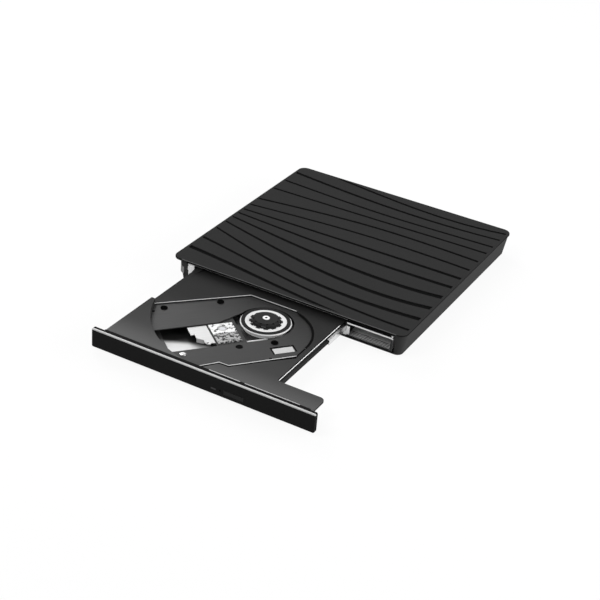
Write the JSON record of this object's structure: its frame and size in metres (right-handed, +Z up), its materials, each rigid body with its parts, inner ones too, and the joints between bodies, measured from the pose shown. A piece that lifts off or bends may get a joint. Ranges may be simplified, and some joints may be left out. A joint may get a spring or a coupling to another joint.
{
  "type": "external disc drive",
  "caption": "Slim external disc drive in a flat case with waves pressed into its lid, tray standing open with spindle, sled and rails.",
  "frame": {"origin": "on the table, under the middle of the drive as it stands with its tray open", "axes": "+Y from the front panel to the back of the case, +X to the right seen from the front, +Z up"},
  "size_m": [0.145, 0.2356, 0.0144],
  "materials": {
    "cover_plastic": "satin black with a soft sheen",
    "base_plastic": "matte black",
    "foot_rubber": "matte",
    "ring_rubber": "matte",
    "dark_screw": "blackened",
    "bright_screw": "bright",
    "sheet_steel": "plain rolled sheet",
    "plate_steel": "satin dark grey",
    "frame_steel": "plain sheet",
    "cover_steel": "etched thin sheet",
    "rail_steel": "blackened with bright edges",
    "bright_metal": "bright",
    "dark_plastic": "matte black",
    "board_green": "solder resist",
    "chip_black": "moulded",
    "flex_film": "amber film",
    "tray_plastic": "satin dark grey",
    "bezel_plastic": "satin black",
    "lamp_plastic": "smoked clear plastic",
    "coil_tape": "taped coil",
    "coil_copper": "enamelled copper wire",
    "sled_cast": "die cast",
    "grey_block": "satin grey",
    "white_plastic": "natural acetal",
    "lens_clear": "coated plastic lens",
    "hub_plastic": "satin black"
  },
  "bodies": {
    "case": {"top_cover": "cover_plastic", "bottom_cover": "base_plastic", "rubber_feet": "foot_rubber", "case_screws": "dark_screw", "drive_screws": "dark_screw", "drive_chassis": "sheet_steel", "drive_lid": "sheet_steel", "lid_screws": "bright_screw", "left_guide": "dark_plastic", "right_guide": "dark_plastic", "drive_board": "board_green", "sata_socket": "dark_plastic", "flex_cable": "flex_film", "latch_post": "bright_metal", "bridge_board": "board_green", "sata_plug": "dark_plastic", "usb_socket": "bright_metal", "usb_tongue": "dark_plastic", "bridge_chip": "chip_black", "board_screws": "bright_screw"},
    "left_rail": {"left_rail": "bright_metal"},
    "right_rail": {"right_rail": "rail_steel"},
    "tray": {"tray": "tray_plastic", "bezel": "bezel_plastic", "led_lens": "lamp_plastic", "mechanism_cover": "plate_steel", "cover_screws": "dark_screw", "tray_shield": "sheet_steel", "wing_shield": "sheet_steel", "shield_screws": "bright_screw", "main_board": "board_green", "servo_chip": "chip_black", "motor_driver_chip": "chip_black", "switch_board": "board_green", "eject_switch": "dark_plastic", "latch_pivot": "bright_metal", "latch_solenoid": "coil_tape", "traverse_frame": "frame_steel", "damper_bushes": "foot_rubber", "damper_screws": "bright_screw", "motor_bracket": "frame_steel", "motor_stator": "coil_copper", "guide_rods": "bright_metal", "rod_holders": "dark_plastic", "feed_motor": "bright_metal"},
    "sled": {"sled_body": "sled_cast", "actuator_cover": "cover_steel", "sled_plate": "bright_metal", "laser_block": "grey_block", "thread_follower": "white_plastic"},
    "lens": {"lens_holder": "dark_plastic", "objective_lens": "lens_clear"},
    "lead_screw": {"lead_screw": "bright_metal"},
    "spindle": {"turntable": "bright_metal", "rubber_ring": "ring_rubber", "disc_hub": "hub_plastic", "chuck_claws": "hub_plastic"},
    "eject_button": {"eject_button": "bezel_plastic"},
    "latch": {"latch_lever": "white_plastic"},
    "ejector": {"ejector_plunger": "white_plastic"}
  },
  "joints": [
    {"name": "tray_slide", "type": "slide", "parent": "case", "child": "tray", "axis": [0, -1, 0], "range_m": [-0.0837, 0.0413], "deforming": ["flex_cable"]},
    {"name": "left_rail_slide", "type": "slide", "parent": "case", "child": "left_rail", "axis": [0, -1, 0], "range_m": [-0.0461, 0.0228]},
    {"name": "right_rail_slide", "type": "slide", "parent": "case", "child": "right_rail", "axis": [0, -1, 0], "range_m": [-0.0461, 0.0228]},
    {"name": "spindle_spin", "type": "hinge", "parent": "tray", "child": "spindle", "pos_m": [0.0023, -0.05373, 0.0095], "axis": [0, 0, 1], "continuous": true},
    {"name": "sled_slide", "type": "slide", "parent": "tray", "child": "sled", "axis": [-0.6494, -0.7604, 0], "range_m": [-0.0012, 0.0325]},
    {"name": "lead_screw_spin", "type": "hinge", "parent": "tray", "child": "lead_screw", "pos_m": [0.00598, -0.09238, 0.0072], "axis": [0.6494, 0.7604, 0], "range_deg": [-150, 3910]},
    {"name": "lens_focus", "type": "slide", "parent": "sled", "child": "lens", "axis": [0, 0, 1], "range_m": [-0.0003, 0.0005], "stiffness_N_per_m": 60},
    {"name": "eject_button_press", "type": "slide", "parent": "tray", "child": "eject_button", "axis": [0, 1, 0], "range_m": [0, 0.0008], "stiffness_N_per_m": 300},
    {"name": "latch_swing", "type": "hinge", "parent": "tray", "child": "latch", "pos_m": [0.0486, -0.11123, 0.0058], "axis": [0, 0, 1], "range_deg": [0, 14]},
    {"name": "ejector_push", "type": "slide", "parent": "tray", "child": "ejector", "axis": [0, -1, 0], "range_m": [0, 0.005], "stiffness_N_per_m": 200}
  ],
  "couplings": [
    {"joint": "left_rail_slide", "follows": "tray_slide", "ratio": 0.55},
    {"joint": "right_rail_slide", "follows": "tray_slide", "ratio": 0.55},
    {"joint": "lead_screw_spin", "follows": "sled_slide", "rad_per_m": 2094.4}
  ]
}
